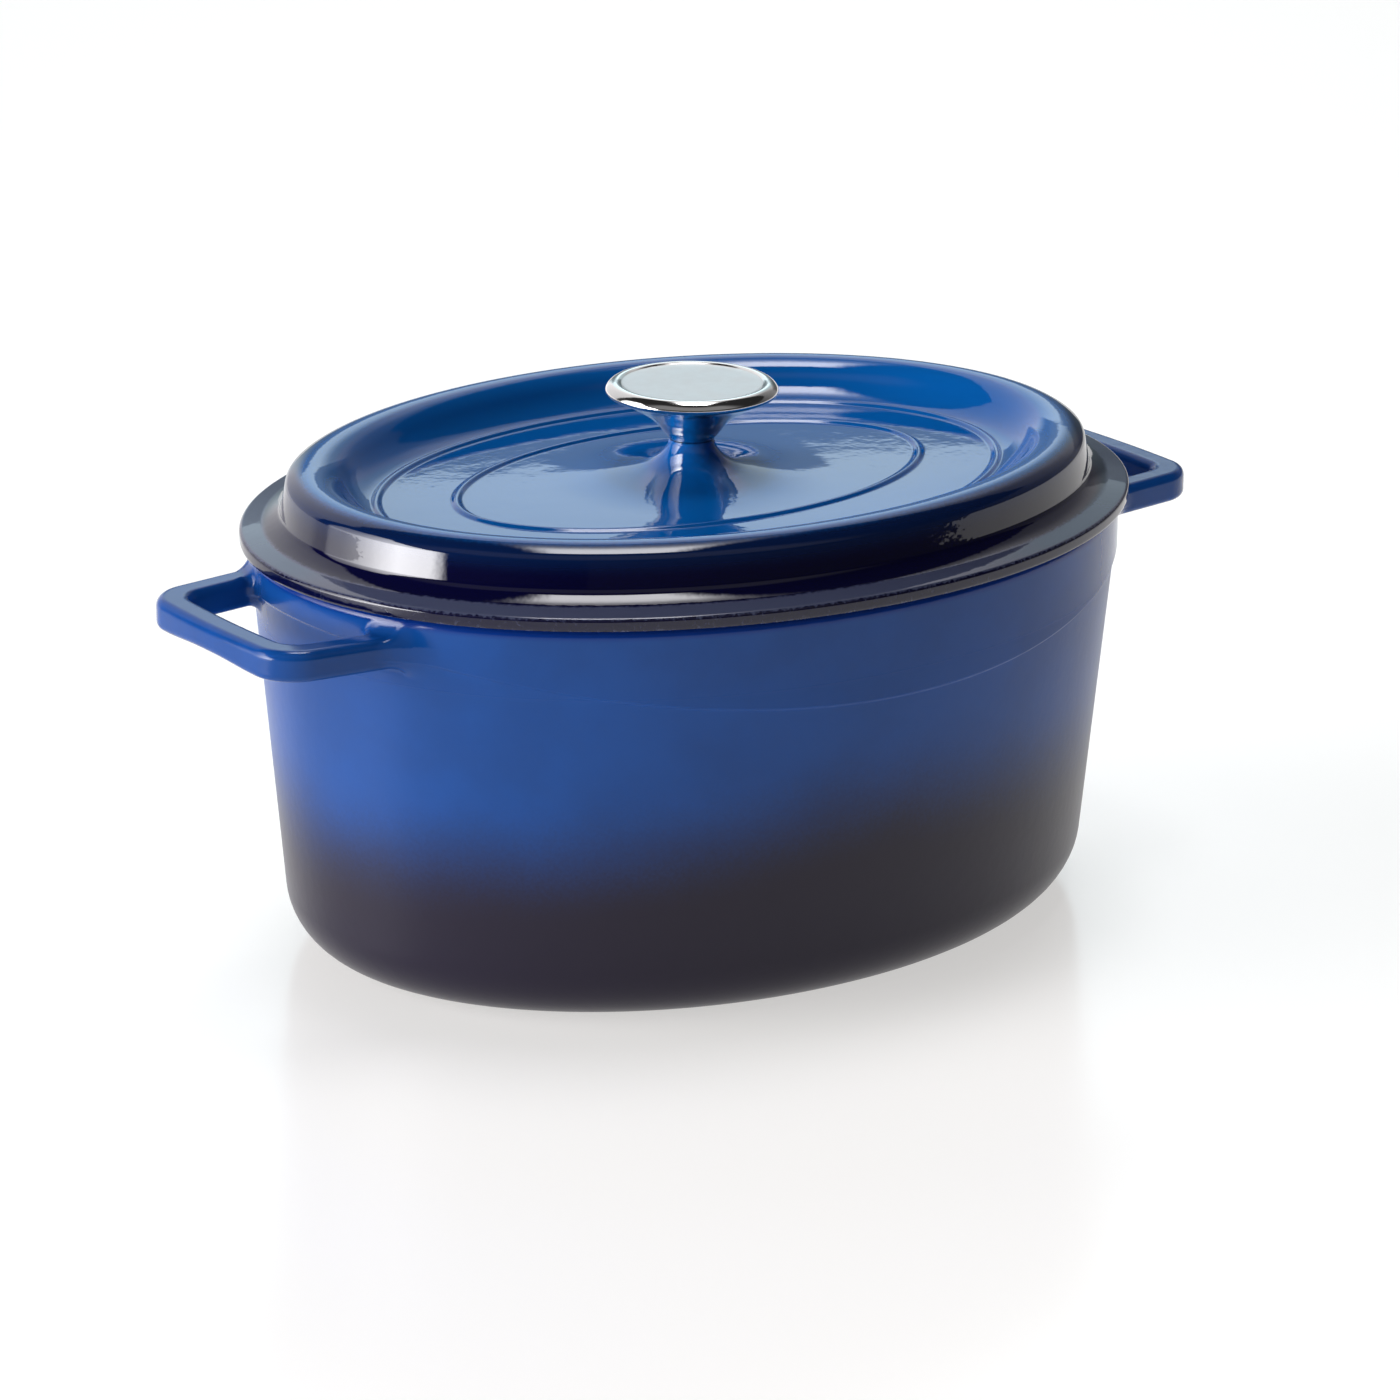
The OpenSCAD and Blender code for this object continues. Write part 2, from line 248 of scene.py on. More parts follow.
def handle_patch(wall_d, wall_z, wall_t, j0, j1):
    """The +X handle with the wall around it, by a dual grid in wall coordinates (column, row, height off the wall).
    Returns new vertices, their normals, quads over (border index or new index) and the map of border nodes."""
    ni, nj = 2 * NF, j1 - j0
    i_par = np.r_[-Q[NF:0:-1], Q[: NF + 1]]
    de = 0.56
    layers = np.arange(-1, 72)
    e_lay = (layers + 0.5) * de
    k0 = 0

    def rows_at(t):
        d, z, a, _, _ = wall_rows(t)
        return d[j0 : j1 + 1], z[j0 : j1 + 1], a[j0 : j1 + 1]

    def cubic(arr, tj):
        j = np.clip(np.floor(tj).astype(int), 0, nj - 1)
        f = tj - j
        c = np.arange(arr.shape[1])
        p0, p1 = arr[np.maximum(j - 1, 0), c], arr[j, c]
        p2, p3 = arr[j + 1, c], arr[np.minimum(j + 2, nj), c]
        return 0.5 * (2 * p1 + (p2 - p0) * f + (2 * p0 - 5 * p1 + 4 * p2 - p3) * f**2 + (3 * p1 - 3 * p2 + p3 - p0) * f**3)

    def world(ti, tj, e):
        t = np.interp(ti, np.arange(ni + 1), i_par)
        d, z, a = (cubic(m, tj) for m in rows_at(t))
        x, y, nx, ny = oval(t)
        dd = d + e * np.cos(a)
        return np.stack([x + dd * nx, y + dd * ny, z + e * np.sin(a)], -1)

    # samples at the middles of the wall's own grid cells
    th = (i_par[1:] + i_par[:-1]) / 2
    dfull, zfull, afull = rows_at(th)
    jj = np.arange(nj) + 0.5
    dm = np.stack([cubic(dfull, np.full(ni, j)) for j in jj])
    zm = np.stack([cubic(zfull, np.full(ni, j)) for j in jj])
    am = np.stack([cubic(afull, np.full(ni, j)) for j in jj])
    x, y, nx, ny = oval(th)
    K = len(e_lay)
    F = np.empty((ni, nj, K), np.float32)
    for k, e in enumerate(e_lay):
        dd = dm + e * np.cos(am)
        p = np.stack([x + dd * nx, y + dd * ny, zm + e * np.sin(am)], -1)
        bar, r = handle_field(p)
        F[:, :, k] = round_or(np.full_like(bar, e), bar, r).T
    neg = F < 0
    # one vertex in every cell that the surface crosses
    cells = np.zeros((ni - 1, nj - 1, K - 1), int)
    for a_ in (0, 1):
        for b_ in (0, 1):
            for c_ in (0, 1):
                cells += neg[a_ : ni - 1 + a_, b_ : nj - 1 + b_, c_ : K - 1 + c_]
    active = (cells > 0) & (cells < 8)
    ai, aj, ak = np.nonzero(active)
    pos, cnt = np.zeros((len(ai), 3)), np.zeros(len(ai))
    corners = [(a_, b_, c_) for a_ in (0, 1) for b_ in (0, 1) for c_ in (0, 1)]
    for u in corners:
        for ax in range(3):
            if u[ax] == 1:
                continue
            w = list(u)
            w[ax] = 1
            f0 = F[ai + u[0], aj + u[1], ak + u[2]]
            f1 = F[ai + w[0], aj + w[1], ak + w[2]]
            cross = (f0 < 0) != (f1 < 0)
            s = np.where(cross, f0 / np.where(cross, f0 - f1, 1), 0)
            q = np.array(u, float)[None] + np.zeros((len(ai), 1))
            q[:, ax] += s
            pos += q * cross[:, None]
            cnt += cross
    pos /= cnt[:, None]
    # index coordinates: sample a sits at column a + 0.5, row b + 0.5
    ti, tj = ai + 0.5 + pos[:, 0], aj + 0.5 + pos[:, 1]
    e = (ak + pos[:, 2] - 0.5) * de
    ids = -np.ones((ni + 1, nj + 1, K - 1), int)
    nb = (ni + 1) * (nj + 1)
    for i in range(ni + 1):
        for j in (0, nj):
            ids[i, j, k0] = i * (nj + 1) + j
    for j in range(nj + 1):
        for i in (0, ni):
            ids[i, j, k0] = i * (nj + 1) + j
    ids[ai + 1, aj + 1, ak] = nb + np.arange(len(ai))
    quads = []
    ch = neg[:, :, :-1] != neg[:, :, 1:]
    a_, b_, k_ = np.nonzero(ch)
    q = np.stack([ids[a_, b_, k_], ids[a_ + 1, b_, k_], ids[a_ + 1, b_ + 1, k_], ids[a_, b_ + 1, k_]], 1)
    quads.append(np.where(neg[a_, b_, k_][:, None], q, q[:, ::-1]))
    ch = neg[:-1] != neg[1:]
    a_, b_, k_ = np.nonzero(ch[:, :, 1:])
    k_ = k_ + 1
    q = np.stack([ids[a_ + 1, b_, k_ - 1], ids[a_ + 1, b_ + 1, k_ - 1], ids[a_ + 1, b_ + 1, k_], ids[a_ + 1, b_, k_]], 1)
    quads.append(np.where(neg[a_, b_, k_][:, None], q, q[:, ::-1]))
    ch = neg[:, :-1] != neg[:, 1:]
    a_, b_, k_ = np.nonzero(ch[:, :, 1:])
    k_ = k_ + 1
    q = np.stack([ids[a_, b_ + 1, k_ - 1], ids[a_, b_ + 1, k_], ids[a_ + 1, b_ + 1, k_], ids[a_ + 1, b_ + 1, k_ - 1]], 1)
    quads.append(np.where(neg[a_, b_, k_][:, None], q, q[:, ::-1]))
    quads = np.concatenate(quads)
    if (quads < 0).any():
        raise RuntimeError("the handle's grid leaves its border")

    def field(ti, tj, e):
        p = world(ti, tj, e)
        bar, r = handle_field(p)
        return p, round_or(e, bar, r), bar, r

    def step(ti, tj, e, move=None):
        """One Newton step onto the surface, or a tangential move given in world space."""
        p, f, bar, r = field(ti, tj, e)
        h = 0.02
        cols, g = [], []
        for dt in ((h, 0, 0), (0, h, 0), (0, 0, h)):
            p2, f2, _, _ = field(ti + dt[0], tj + dt[1], e + dt[2])
            cols.append((p2 - p) / h)
            g.append((f2 - f) / h)
        J = np.stack(cols, -1)
        Ji = np.linalg.inv(J)
        gw = np.einsum("nij,ni->nj", Ji, np.stack(g, -1))
        g2 = (gw**2).sum(1)
        dp = -gw * (f / np.maximum(g2, 1e-9))[:, None]
        if move is not None:
            nrm = gw / np.sqrt(g2)[:, None]
            mv = move(p)
            dp = dp + mv - (mv * nrm).sum(1)[:, None] * nrm
        lim = np.maximum(np.linalg.norm(dp, axis=1) / 0.4, 1)[:, None]
        di = np.einsum("nij,nj->ni", Ji, dp / lim)
        ti = np.clip(ti + di[:, 0], 0.5, ni - 0.5)
        tj = np.clip(tj + di[:, 1], 0.5, nj - 0.5)
        return ti, tj, e + di[:, 2], gw, bar, r

    pairs = np.concatenate([quads[:, [0, 1]], quads[:, [1, 2]], quads[:, [2, 3]], quads[:, [3, 0]]])
    grid_t = np.repeat(i_par, nj + 1)
    gd, gz, _ = rows_at(grid_t)
    row_of = np.tile(np.arange(nj + 1), ni + 1)
    border = place(grid_t, gd[row_of, np.arange(nb)], gz[row_of, np.arange(nb)])
    for it in range(3):
        ti, tj, e, gw, bar, r = step(ti, tj, e)
    for it in range(6):
        def move(p):
            full = np.concatenate([border, p])
            s, c = np.zeros_like(full), np.zeros(len(full))
            for u, w in ((0, 1), (1, 0)):
                np.add.at(s, pairs[:, u], full[pairs[:, w]])
                np.add.at(c, pairs[:, u], 1)
            mean = s[nb:] / np.maximum(c[nb:], 1)[:, None]
            return (mean - p) * (0.5 * near)[:, None]

        near = np.clip((r + 1.0 - bar) / 2.0, 0, 1)
        ti, tj, e, gw, bar, r = step(ti, tj, e, move)
    for it in range(3):
        ti, tj, e, gw, bar, r = step(ti, tj, e)
    p, f, bar, r = field(ti, tj, e)
    _, _, _, gw, _, _ = step(ti, tj, e)
    nrm = gw / np.linalg.norm(gw, axis=1, keepdims=True)
    return p, nrm, quads, nb, ni, nj, np.abs(f).max()


def build_pot(mat_out, mat_in):
    b = Builder()
    D, Z, TURN, j0, j1 = wall_rows(T)
    rows, kind = [], []
    # underside: recess, foot ring
    base = [(-41.5, 0.8), (-40.2, 0.8), (-39.9, 0.72), (-39.6, 0.5), (-39.35, 0.2), (-39.0, 0.04), (-38.6, 0.0), (-35.0, 0.0), (-32.0, 0.0)]
    core = place(T, np.full(N, -44.0), 0.8)
    centre = b.add([[0, 0, 0.8]])[0]
    for s in (0.06, 0.14, 0.26, 0.4, 0.55, 0.7, 0.84, 0.94, 1.0):
        rows.append(b.add(core * [s, s, 1]))
        kind.append(0)
    b.fan(rows[0], centre, flip=True)
    for d, z in base:
        rows.append(b.add(place(T, np.full(N, d), z)))
        kind.append(0)
    start = len(rows)
    wall_ids = []
    for j in range(len(D)):
        rows.append(b.add(place(T, D[j], Z[j])))
        kind.append(1)
        wall_ids.append(rows[-1])
    wall_ids = np.array(wall_ids)
    # rim top, inner corner, inner wall
    ins = []
    for k in np.linspace(0, 1, 6):
        a = math.pi / 2 * (1 + k)
        ins.append((-2.35 + 0.8 * math.cos(a), 133.6 + 0.8 * math.sin(a)))
    for z in (132.2, 130.4, 128.4, 126.4):
        ins.append((-3.15, z))
    lean = 0.087
    for z in np.linspace(125, 113, 9):
        k = smooth((125.6 - z) / 13.0)
        ins.append((-3.15 * (1 - k) + (-14.562 + lean * z) * k, z))
    wc, wr = (-28.795, 21.0), 16.0
    ae = -math.atan(lean)
    zt = wc[1] + wr * math.sin(ae)
    for z in np.linspace(110, zt + 4, 18):
        ins.append((-14.562 + lean * z, z))
    for k in np.linspace(0, 1, 15):
        a = ae + (-math.pi / 2 - ae) * k
        ins.append((wc[0] + wr * math.cos(a), wc[1] + wr * math.sin(a)))
    ins += [(-31.5, 5.0), (-35.5, 5.0), (-40.0, 5.0)]
    for d, z in ins:
        rows.append(b.add(place(T, np.full(N, d), z)))
        kind.append(2)
    core = place(T, np.full(N, -45.0), 5.0)
    for s in (1.0, 0.93, 0.82, 0.68, 0.54, 0.4, 0.26, 0.14, 0.06):
        rows.append(b.add(core * [s, s, 1]))
        kind.append(2)
    c2 = b.add([[0, 0, 5.0]])[0]
    b.fan(rows[-1], c2)
    fmat = [np.ones(N, int), np.ones(N, int)]
    # rows of quads, with the handle patches left open
    cut = np.zeros(N, bool)
    cols = np.arange(-NF, NF) % N
    cut[cols] = True
    cut2 = np.zeros(N, bool)
    cut2[(N // 2 + np.arange(-NF, NF)) % N] = True
    hole = cut | cut2
    for r in range(len(rows) - 1):
        q = np.stack([rows[r], np.roll(rows[r], -1), np.roll(rows[r + 1], -1), rows[r + 1]], 1)
        j = r - start
        if j0 <= j < j1:
            q = q[~hole]
        b.f.append(q)
        outer = 10 <= r < start + len(D) - 2
        fmat.append(np.full(len(q), 0 if outer else 1))
    p, nrm, quads, nb, ni, nj, err = handle_patch(D, Z, TURN, j0, j1)
    print("handle patch:", len(p), "vertices,", len(quads), "quads, off by", round(float(err), 5), "mm")
    patch_n = []
    for sign in (1, -1):
        pts = p * [sign, 1, 1]
        new = b.add(pts)
        patch_n.append((new, nrm * [sign, 1, 1]))
        grid = np.empty((ni + 1, nj + 1), int)
        for i in range(ni + 1):
            c = (i - NF) % N if sign == 1 else (N // 2 - (i - NF)) % N
            grid[i] = wall_ids[j0 : j1 + 1, c]
        table = np.r_[grid.ravel(), new]
        q = table[quads]
        if sign == -1:
            q = q[:, ::-1]
        b.f.append(q)
        fmat.append(np.zeros(len(q), int))
    v = np.concatenate(b.v)
    f = np.concatenate(b.f)
    fm = np.concatenate(fmat)
    # drop the wall vertices that the patches replaced
    used = np.zeros(len(v), bool)
    used[f.ravel()] = True
    remap = np.cumsum(used) - 1
    normals = vertex_normals(v, f)
    for new, nn in patch_n:
        normals[new] = nn
    return mesh("pot_casting", v[used], remap[f], [mat_out, mat_in], fm, normals[used])


# ---------------------------------------------------------------- lid
def arc(cx, cy, r, a0, a1, n):
    return [(cx + r * math.cos(math.radians(a)), cy + r * math.sin(math.radians(a))) for a in np.linspace(a0, a1, n)]


CREST = (-18.9, 156.9, 11.5)       # offset, height, radius of its top
SKIRT, CORNER_R = 79.0, 3.5
COVE_R, FOOT_R = 17.0, 3.0
TOE_R, TOE = 6.0, 18.0             # where the flange turns up into the cove
FLANGE = (3.95, 139.1, 10.5)       # offset of the edge, height near it, slope in degrees
EDGE_R = 1.35
MID = 36.0                         # slope at which the cove and the crest tighten
FIELD = 145.5
INNER_R = 16.0
LID_T = 4.0


def polar(r, deg):
    return np.array([r * math.sin(math.radians(deg)), r * math.cos(math.radians(deg))])


def lid_outer():
    """Top profile from the flange edge to where the field begins, as (offset, height)."""
    cd, cz, cr = CREST
    f = FLANGE[2]
    slope = math.tan(math.radians(f))
    top = np.array([cd, cz - cr])
    # outer shoulder of the crest, tighter than its top
    kc = top + polar(cr - CORNER_R, MID)
    sk = kc + polar(CORNER_R, SKIRT)
    down = np.array([math.cos(math.radians(SKIRT)), -math.sin(math.radians(SKIRT))])

    def cove(d1):
        z1 = FLANGE[1] + (FLANGE[0] - 0.65 - d1) * slope
        c0 = np.array([d1, z1]) + polar(TOE_R, f)
        c = c0 + polar(COVE_R - TOE_R, TOE)
        c2 = c - polar(COVE_R - FOOT_R, MID)
        return c, c2, c2 - polar(FOOT_R, SKIRT), z1, c0

    def off_line(d1):
        q = cove(d1)[2] - sk
        return q[0] * down[1] - q[1] * down[0]

    lo, hi = -14.0, 3.0
    for _ in range(60):
        mid = (lo + hi) / 2
        lo, hi = (mid, hi) if (off_line(mid) > 0) == (off_line(lo) > 0) else (lo, mid)
    d1 = (lo + hi) / 2
    c, c2, foot, z1, c0 = cove(d1)
    # underside corner and edge
    pts = [(FLANGE[0] - 0.9, 134.72), (FLANGE[0] - 0.45, 134.86), (FLANGE[0] - 0.14, 135.2), (FLANGE[0], 135.7)]
    pts += [(FLANGE[0], 136.3), (FLANGE[0], 136.8)]
    ec = np.array([FLANGE[0] - EDGE_R, FLANGE[1] - EDGE_R])
    pts += [tuple(ec + polar(EDGE_R, a)) for a in np.linspace(90, f, 9)]
    e0 = pts[-1]
    for k in np.linspace(0, 1, 5)[1:]:
        pts.append((e0[0] + (d1 - e0[0]) * k, e0[1] + (z1 - e0[1]) * k))
    pts += [tuple(c0 - polar(TOE_R, a)) for a in np.linspace(f, TOE, 4)[1:]]
    pts += [tuple(c - polar(COVE_R, a)) for a in np.linspace(TOE, MID, 10)[1:]]
    pts += [tuple(c2 - polar(FOOT_R, a)) for a in np.linspace(MID, SKIRT, 9)[1:]]
    for k in np.linspace(0, 1, 8)[1:-1]:
        pts.append(tuple(foot + (sk - foot) * k))
    pts += [tuple(kc + polar(CORNER_R, a)) for a in np.linspace(SKIRT, MID, 10)]
    # over the top, then the concave slope inside it
    dz = FIELD + INNER_R - top[1]
    dx = math.sqrt((INNER_R + cr) ** 2 - dz**2)
    alpha = math.degrees(math.asin(dx / (INNER_R + cr)))
    pts += [tuple(top + polar(cr, a)) for a in np.linspace(MID, -alpha, 24)[1:]]
    c3 = np.array([cd - dx, FIELD + INNER_R])
    pts += [tuple(c3 - polar(INNER_R, a)) for a in np.linspace(-alpha, 0, 40)[1:] if c3[0] - INNER_R * math.sin(math.radians(a)) > -36.9]
    return pts, cd - dx


def field_h(d):
    """Height of the field, which runs up the foot of the inner slope toward the crest."""
    cd, cz, cr = CREST
    dx = math.sqrt((INNER_R + cr) ** 2 - (FIELD + INNER_R - cz + cr) ** 2)
    return FIELD + INNER_R - np.sqrt(INNER_R**2 - np.clip(d - (cd - dx), 0, INNER_R * 0.9) ** 2)


def smooth_rows(pts, n=2, keep=3):
    """Rounds the curvature jumps of a profile a little."""
    p = np.array(pts)
    for _ in range(n):
        q = p.copy()
        q[keep:-keep] = 0.25 * p[keep - 1 : -keep - 1] + 0.5 * p[keep:-keep] + 0.25 * p[keep + 1 : len(p) - keep + 1]
        p = q
    return p


def bead(d, d0, h=0.9, w=2.2):
    return h * (1 - smooth(np.abs(d - d0) / w)) ** 1.0


def build_lid(mat_top, mat_under):
    b = Builder()
    rows, kind = [], []
    outer, d_field = lid_outer()
    prof = [tuple(p) for p in outer]
    # inward across the two beads to the core
    marks = list(np.linspace(-37.1, -42.1, 21)) + list(np.linspace(-43.2, -61.6, 12)) + list(np.linspace(-62.5, -67.5, 21))
    full = [(d, z, "o") for d, z in prof] + [(m, float(field_h(m)), "f") for m in marks]
    core = place(T, np.full(N, -67.5), 0)
    ring = np.hypot(core[:, 0], core[:, 1])
    psi = np.arctan2(core[:, 1], core[:, 0])

    def h_at(x, y):
        """Gentle crown of the field and the wide flare of the boss."""
        rho2 = (x / 110.5) ** 2 + (y / 77.2) ** 2
        r = np.hypot(x, y)
        crown = 1.0 * np.clip(1 - rho2, 0, 1)
        flare = 3.05 * (np.clip(50 - r, 0, 32) / 32) ** 2.2
        return crown + flare

    for d, z, k in full:
        p = place(T, np.full(N, d), z)
        add = bead(d, -39.6) + bead(d, -65.0) if d < -30 else 0.0
        p[:, 2] += add
        if d < -30:
            p[:, 2] += h_at(p[:, 0], p[:, 1])
        rows.append(b.add(p, d))
    # from the core oval to the boss, rings turn from oval to round
    r_in = 18.0
    for k in np.linspace(0, 1, 22)[1:]:
        k2 = k**0.85
        rr = ring * (1 - k2) + r_in * k2
        x, y = rr * np.cos(psi), rr * np.sin(psi)
        rows.append(b.add(np.stack([x, y, FIELD + h_at(x, y)], 1), -70))
    z18 = FIELD + float(h_at(r_in, 0.0))
    sil = [(r_in, z18), (16.2, z18 + 0.42), (14.4, z18 + 0.98), (12.6, z18 + 1.75), (11.0, z18 + 2.75), (9.7, z18 + 3.9), (8.7, z18 + 5.1), (8.0, z18 + 6.3), (7.5, z18 + 7.5), (7.2, z18 + 8.6)]
    sil = sil[1:]
    sil += [(7.05, 157.4), (6.95, 157.68), (6.7, 157.8), (5.0, 157.8), (3.6, 157.8), (3.3, 157.6), (3.3, 155.0), (3.3, 150.0), (3.3, 145.0)]
    for r, z in sil:
        rows.append(b.add(np.stack([r * np.cos(psi), r * np.sin(psi), np.full(N, z)], 1), -70))
    n_top = len(rows)
    # underside, from the screw hole outward
    th = 4.0
    for r, z in [(3.3, 142.4), (3.5, 141.85), (3.8, 141.8), (6.0, 141.8), (9.5, 141.8), (12.0, 141.8), (13.5, 141.75), (15.0, 141.62), (16.5, 141.5)]:
        rows.append(b.add(np.stack([r * np.cos(psi), r * np.sin(psi), np.full(N, z)], 1), 10))
    for k in np.linspace(1, 0, 14)[1:]:
        rr = ring * (1 - k) + 16.5 * k
        x, y = rr * np.cos(psi), rr * np.sin(psi)
        rows.append(b.add(np.stack([x, y, np.full(N, FIELD - th) + 0.0], 1), 10))
    und = [(-62.0, 141.5), (-56.0, 141.5), (-50.0, 141.5), (-46.0, 141.5)]
    top = np.array(outer)[::-1]
    tan = np.gradient(top, axis=0)
    inset = top - LID_T * np.stack([-tan[:, 1], tan[:, 0]], 1) / np.hypot(*tan.T)[:, None]
    for (d, z), (dt, zt) in zip(inset, top):
        # evenly spaced along the inner slope, over the crest and down behind the skirt
        if d > und[-1][0] + 0.2 and math.hypot(d - und[-1][0], z - und[-1][1]) > 0.9 and not (dt > -12 and zt < 147):
            und.append((float(d), float(z)))
    und += [(-13.0, 146.6), (-12.4, 144.2), (-11.6, 141.8), (-10.6, 139.4), (-9.5, 137.0), (-8.7, 134.8), (-8.42, 132.8), (-8.35, 131.0), (-8.2, 130.2), (-7.8, 129.82), (-7.2, 129.7), (-6.4, 129.7), (-5.7, 129.82), (-5.15, 130.2), (-4.97, 130.9), (-4.95, 132.0), (-4.95, 133.5), (-4.9, 134.3), (-4.6, 134.62), (-4.0, 134.7), (-2.0, 134.7), (1.0, 134.7)]
    for d, z in und:
        rows.append(b.add(place(T, np.full(N, d), z), 10))
    fm = []
    for r in range(len(rows)):
        nxt = rows[(r + 1) % len(rows)]
        b.f.append(np.stack([rows[r], np.roll(rows[r], -1), np.roll(nxt, -1), nxt], 1))
        fm.append(np.full(N, 0 if 1 <= r < n_top - 6 else 1))
    v, f = np.concatenate(b.v), np.concatenate(b.f)
    normals = vertex_normals(v, f)
    return mesh("lid_casting", v, f, [mat_top, mat_under], np.concatenate(fm), normals, {"offset": np.concatenate(b.attr)})


# ---------------------------------------------------------------- turned pieces
def revolve(name, prof, mats, seg=160, face_mat=None, close=False, sharp=()):
    """Turns a profile of (radius, height) round Z. A radius of 0 is a pole. Runs so that the outside is on the left."""
    b = Builder()
    rows = []
    ang = np.linspace(0, 2 * math.pi, seg, endpoint=False)
    for r, z in prof:
        if r == 0:
            rows.append(("p", b.add([[0, 0, z]])[0]))
        else:
            rows.append(("r", b.add(np.stack([r * np.cos(ang), r * np.sin(ang), np.full(seg, z)], 1))))
    fm = []
    seq = list(zip(rows, rows[1:])) + ([(rows[-1], rows[0])] if close else [])
    for k, ((ka, a), (kb, c)) in enumerate(seq):
        if ka == "r" and kb == "r":
            b.ring(a, c)
        elif ka == "r":
            b.fan(a, c)
        else:
            b.fan(c, a, flip=True)
        fm.append(np.full(seg, 0 if face_mat is None else face_mat[k]))
    return mesh(name, np.concatenate(b.v), np.concatenate(b.f), mats, np.concatenate(fm))


def catmull(pts, n=5):
    """A smooth curve through the points, n steps between each two."""
    p = np.array(pts, float)
    p = np.vstack([2 * p[0] - p[1], p, 2 * p[-1] - p[-2]])
    out = []
    for i in range(1, len(p) - 2):
        a, b_, c, d = p[i - 1], p[i], p[i + 1], p[i + 2]
        # centripetal knots
        t1 = max(np.linalg.norm(b_ - a) ** 0.5, 1e-6)
        t2 = t1 + max(np.linalg.norm(c - b_) ** 0.5, 1e-6)
        t3 = t2 + max(np.linalg.norm(d - c) ** 0.5, 1e-6)
        for s in np.linspace(t1, t2, n, endpoint=False):
            a1 = a * (t1 - s) / t1 + b_ * s / t1
            a2 = b_ * (t2 - s) / (t2 - t1) + c * (s - t1) / (t2 - t1)
            a3 = c * (t3 - s) / (t3 - t2) + d * (s - t2) / (t3 - t2)
            b1 = a1 * (t2 - s) / t2 + a2 * s / t2
            b2 = a2 * (t3 - s) / (t3 - t1) + a3 * (s - t1) / (t3 - t1)
            out.append(tuple(b1 * (t2 - s) / (t2 - t1) + b2 * (s - t1) / (t2 - t1)))
    out.append(tuple(p[-2]))
    return out


KNOB = [(0, 157.8), (4.0, 157.8), (6.45, 157.8), (6.75, 157.9), (6.92, 158.15)]
KNOB_STEM = [(6.92, 158.15), (7.35, 158.6), (8.35, 159.7), (9.35, 160.9), (10.4, 162.3), (11.6, 163.8), (13.2, 165.3), (15.6, 167.0), (18.6, 168.9), (21.6, 170.6), (24.2, 171.9), (26.0, 172.7)]
KNOB_RIM = [(26.0, 172.7), (27.0, 173.15), (27.65, 173.7), (27.88, 174.3), (27.75, 174.95), (27.3, 175.7), (26.6, 176.4), (25.7, 176.95), (24.8, 177.18), (23.9, 177.15), (23.2, 176.9)]


def build_knob(mats):
    stem = catmull(KNOB_STEM, 6)
    rim = catmull(KNOB_RIM, 5)
    prof = KNOB[:-1] + stem[:-1] + rim
    n_pol = len(prof) - 1
    prof += [(22.9, 176.72), (22.6, 176.62), (22.2, 176.6), (21.0, 176.6), (18.0, 176.6), (14.0, 176.6), (9.0, 176.6), (4.0, 176.6), (0, 176.6)]
    fm = [0] * (n_pol + 1) + [1] * (len(prof) - n_pol - 2)
    return revolve("knob_turned", prof, mats, 224, fm)


def build_washer(mat):
    """Flat washer with broken edges, 18 by 6.4 by 1.2 mm."""
    lo, hi, r0, r1, c = 140.6, 141.8, 3.2, 9.0, 0.15
    prof = [(r0 + c, lo), (r1 - 0.3, lo), (r1 - 0.08, lo + 0.08), (r1, lo + 0.3), (r1, hi - 0.2), (r1 - c, hi), (r0 + c, hi), (r0, hi - c), (r0, lo + c)]
    return revolve("washer_flat", prof, [mat], 96, close=True)


def build_lock_washer(mat):
    """Spring washer: a square-section ring with a split in it, lying flat."""
    lo, hi, r0, r1 = 139.1, 140.6, 3.15, 5.8
    b = Builder()
    sec = [(r0 + 0.1, lo), (r1 - 0.15, lo), (r1, lo + 0.15), (r1, hi - 0.15), (r1 - 0.15, hi), (r0 + 0.1, hi), (r0, hi - 0.1), (r0, lo + 0.1)]
    rows = []
    for k in np.linspace(0, 1, 73):
        a = math.radians(35 + 6) + k * math.radians(348)
        # a slant for the cut, as the ends of a rolled coil have, is multiplied by zero, so the cut is square
        ring = []
        for r, z in sec:
            s = (z - (lo + hi) / 2) * 0.06 * (1 - 2 * k) * 0
            ring.append([r * math.cos(a + s), r * math.sin(a + s), z])
        rows.append(b.add(ring))
    for p, q in zip(rows, rows[1:]):
        b.ring(q, p)
    c0, c1 = b.add(np.mean(b.v[0], 0)[None])[0], b.add(np.mean(b.v[-2], 0)[None])[0]
    b.fan(rows[0], c0)
    b.fan(rows[-1], c1, flip=True)
    return mesh("washer_spring", np.concatenate(b.v), np.concatenate(b.f), [mat])


